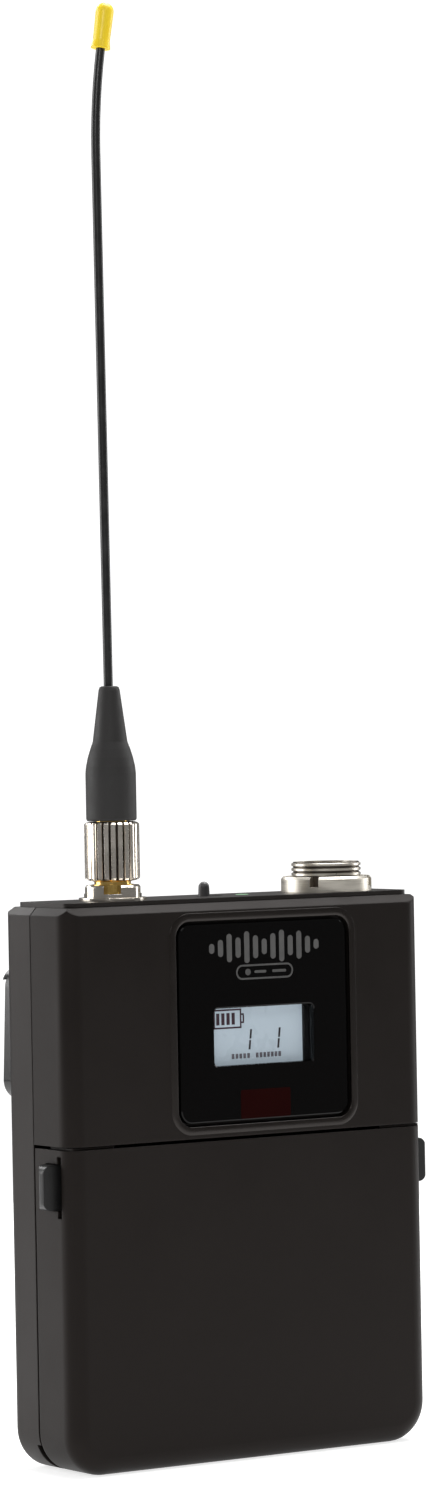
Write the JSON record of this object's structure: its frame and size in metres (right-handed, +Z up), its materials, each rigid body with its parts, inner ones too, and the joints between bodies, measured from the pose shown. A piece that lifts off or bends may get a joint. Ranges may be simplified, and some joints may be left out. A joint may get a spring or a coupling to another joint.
{
  "type": "wireless bodypack transmitter",
  "caption": "flat metal bodypack transmitter with a display window, hinged battery door with side latches, screw-on whip antenna, threaded microphone connector and a spring belt clip",
  "frame": {"origin": "middle of the flat base face, halfway across the width and halfway through the depth of the case without its clip", "axes": "X to the right along the width, Y to the back with the display facing -Y, Z up along the antenna"},
  "size_m": [0.071, 0.023, 0.2223],
  "materials": {
    "case_paint": "satin powder coat",
    "plate_paint": "satin powder coat",
    "foam": "matt",
    "steel": "plain",
    "spring_steel": "bright",
    "black_plastic": "fine texture",
    "lens": "polished",
    "ir_red": "polished, dark red",
    "lcd": "grey liquid crystal",
    "light_guide": "white",
    "ribbon": "polyimide",
    "board": "solder mask",
    "chips": "moulded",
    "tin": "tin plated",
    "key_grey": "matt",
    "clear": "frosted",
    "gold": "gold plated",
    "ptfe": "plain",
    "nickel": "nickel plated",
    "coax": "plain",
    "boot": "matt",
    "whip_jacket": "smooth jacket",
    "tip_yellow": "plain",
    "wire_red": "plain",
    "sleeve": "printed sleeve, plain",
    "clip_black": "gloss black"
  },
  "bodies": {
    "case": {"rear_shell": "case_paint", "front_cover": "case_paint", "top_plate": "plate_paint", "hinge_pin": "steel", "window_lens": "lens", "window_gasket": "foam", "ir_window": "ir_red", "ir_transceiver": "chips", "display_frame": "black_plastic", "display_glass": "lcd", "display_backlight": "light_guide", "display_ribbon": "ribbon", "main_board": "board", "board_components": "chips", "shield_can": "tin", "board_screws": "steel", "button_housing": "black_plastic", "key_switches": "tin", "switch_body": "black_plastic", "power_light": "clear", "jack_body": "gold", "jack_insulator": "ptfe", "jack_contact": "gold", "jack_washer": "nickel", "jack_nut": "nickel", "coax_lead": "coax", "mic_shell": "nickel", "mic_insulator": "black_plastic", "mic_pins": "gold", "mic_nut": "nickel", "mic_wires": "wire_red", "battery_tray": "black_plastic", "cell_upper": "sleeve", "cell_lower": "sleeve", "link_contact": "tin", "positive_contact": "tin", "negative_contact": "tin", "clip_foot": "clip_black", "clip_screws": "steel", "case_screws": "steel"},
    "door": {"battery_door": "case_paint", "door_pad": "foam", "latch_retainer_left": "steel", "latch_retainer_right": "steel", "latch_spring_left": "spring_steel", "latch_spring_right": "spring_steel"},
    "antenna": {"antenna_ferrule": "gold", "antenna_pin": "gold", "antenna_boot": "boot", "antenna_whip": "whip_jacket", "antenna_tip": "tip_yellow"},
    "left latch": {"latch_left": "black_plastic"},
    "right latch": {"latch_right": "black_plastic"},
    "menu button": {"key_menu": "key_grey"},
    "enter button": {"key_enter": "key_grey"},
    "down button": {"key_down": "key_grey"},
    "up button": {"key_up": "key_grey"},
    "switch": {"switch_nub": "black_plastic"},
    "antenna nut": {"antenna_nut": "nickel"},
    "clip arm": {"belt_clip": "clip_black"}
  },
  "joints": [
    {"name": "door_hinge", "type": "hinge", "parent": "case", "child": "door", "pos_m": [0, 0, 0.0019], "axis": [1, 0, 0], "range_deg": [0, 100]},
    {"name": "latch_right_press", "type": "slide", "parent": "door", "child": "right latch", "axis": [-1, 0, 0], "range_m": [0, 0.0014], "stiffness_N_per_m": 700, "springref_m": -0.002, "deforming": ["latch_spring_right"]},
    {"name": "latch_left_press", "type": "slide", "parent": "door", "child": "left latch", "axis": [1, 0, 0], "range_m": [0, 0.0014], "stiffness_N_per_m": 700, "springref_m": -0.002, "deforming": ["latch_spring_left"]},
    {"name": "menu_press", "type": "slide", "parent": "case", "child": "menu button", "axis": [0, 1, 0], "range_m": [0, 0.0004], "stiffness_N_per_m": 1250, "springref_m": -0.0004},
    {"name": "enter_press", "type": "slide", "parent": "case", "child": "enter button", "axis": [0, 1, 0], "range_m": [0, 0.0004], "stiffness_N_per_m": 1250, "springref_m": -0.0004},
    {"name": "down_press", "type": "slide", "parent": "case", "child": "down button", "axis": [0, 1, 0], "range_m": [0, 0.0004], "stiffness_N_per_m": 1250, "springref_m": -0.0004},
    {"name": "up_press", "type": "slide", "parent": "case", "child": "up button", "axis": [0, 1, 0], "range_m": [0, 0.0004], "stiffness_N_per_m": 1250, "springref_m": -0.0004},
    {"name": "power_slide", "type": "slide", "parent": "case", "child": "switch", "axis": [1, 0, 0], "range_m": [0, 0.002]},
    {"name": "antenna_lift", "type": "slide", "parent": "case", "child": "antenna", "axis": [0, 0, 1], "range_m": [0, 0.00353]},
    {"name": "antenna_nut_turn", "type": "hinge", "parent": "antenna", "child": "antenna nut", "pos_m": [-0.0188, 0, 0.094], "axis": [0, 0, 1], "range_deg": [0, 1800]},
    {"name": "clip_flex", "type": "hinge", "parent": "case", "child": "clip arm", "pos_m": [0, 0.0115, 0.013], "axis": [-1, 0, 0], "range_deg": [-2, 6], "stiffness_Nm_per_rad": 5.7}
  ],
  "couplings": [
    {"joint": "antenna_nut_turn", "follows": "antenna_lift", "rad_per_m": 8904.7}
  ]
}
